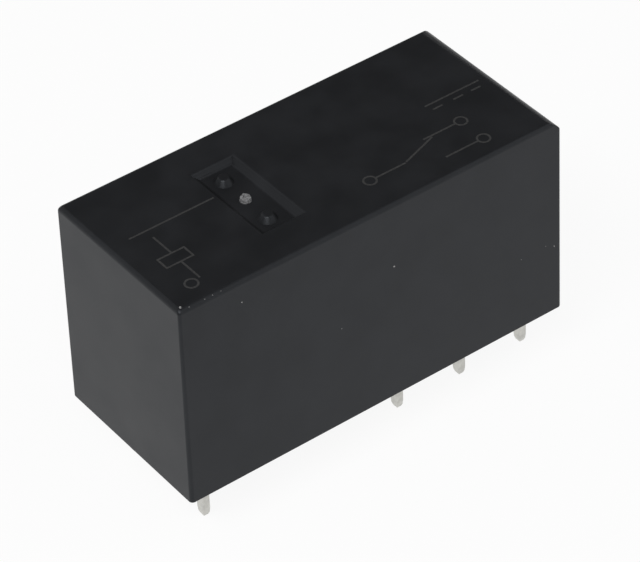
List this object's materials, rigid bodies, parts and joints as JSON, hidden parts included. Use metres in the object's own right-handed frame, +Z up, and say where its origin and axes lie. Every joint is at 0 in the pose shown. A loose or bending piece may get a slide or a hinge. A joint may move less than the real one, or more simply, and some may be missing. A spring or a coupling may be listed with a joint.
{
  "type": "pcb power relay",
  "caption": "Sealed black box relay for a circuit board, with coil and contact pins below and a changeover contact inside.",
  "frame": {"origin": "middle of the case on the board surface, where the stand-off feet rest", "axes": "+X from the coil end to the contact end, +Y across the case, +Z up away from the board"},
  "size_m": [0.0288, 0.0126, 0.0193],
  "materials": {
    "black_plastic": "semi-matt moulded black",
    "resin": "glossy cast epoxy",
    "natural_plastic": "moulded natural",
    "copper_wire": "enamelled wire",
    "plated_iron": "plated",
    "spring_bronze": "rolled strip",
    "rivet_brass": "plain",
    "contact_silver": "silver alloy",
    "tinned_copper": "dull tin"
  },
  "bodies": {
    "housing": {"case": "black_plastic", "base": "black_plastic", "sealing_resin": "resin", "bobbin": "natural_plastic", "coil_winding": "copper_wire", "coil_lead_front": "copper_wire", "coil_lead_rear": "copper_wire", "core": "plated_iron", "yoke": "plated_iron", "coil_terminal_front": "tinned_copper", "coil_terminal_rear": "tinned_copper", "nc_terminal": "tinned_copper", "nc_contact": "contact_silver", "com_terminal": "tinned_copper", "spring_rivets": "rivet_brass", "no_terminal": "tinned_copper", "no_contact": "contact_silver"},
    "armature": {"armature": "plated_iron", "hinge_spring": "spring_bronze"},
    "card": {"card": "natural_plastic"},
    "contact_arm": {"contact_spring": "spring_bronze", "moving_contact": "contact_silver"}
  },
  "joints": [
    {"name": "armature_pivot", "type": "hinge", "parent": "housing", "child": "armature", "pos_m": [-0.01159, 0, 0.00205], "axis": [0, 1, 0], "range_deg": [0, 3.65], "stiffness_Nm_per_rad": 0.0005, "springref_deg": -8.59},
    {"name": "card_slide", "type": "slide", "parent": "housing", "child": "card", "axis": [1, 0, 0], "range_m": [0, 0.000652]},
    {"name": "contact_spring_flex", "type": "hinge", "parent": "housing", "child": "contact_arm", "pos_m": [0.00785, 0, 0.004], "axis": [0, 1, 0], "range_deg": [0, 4.51], "stiffness_Nm_per_rad": 0.00012, "springref_deg": -5.73}
  ],
  "couplings": [
    {"joint": "armature_pivot", "follows": "card_slide", "rad_per_m": 97.627},
    {"joint": "contact_spring_flex", "follows": "card_slide", "rad_per_m": 120.61}
  ]
}
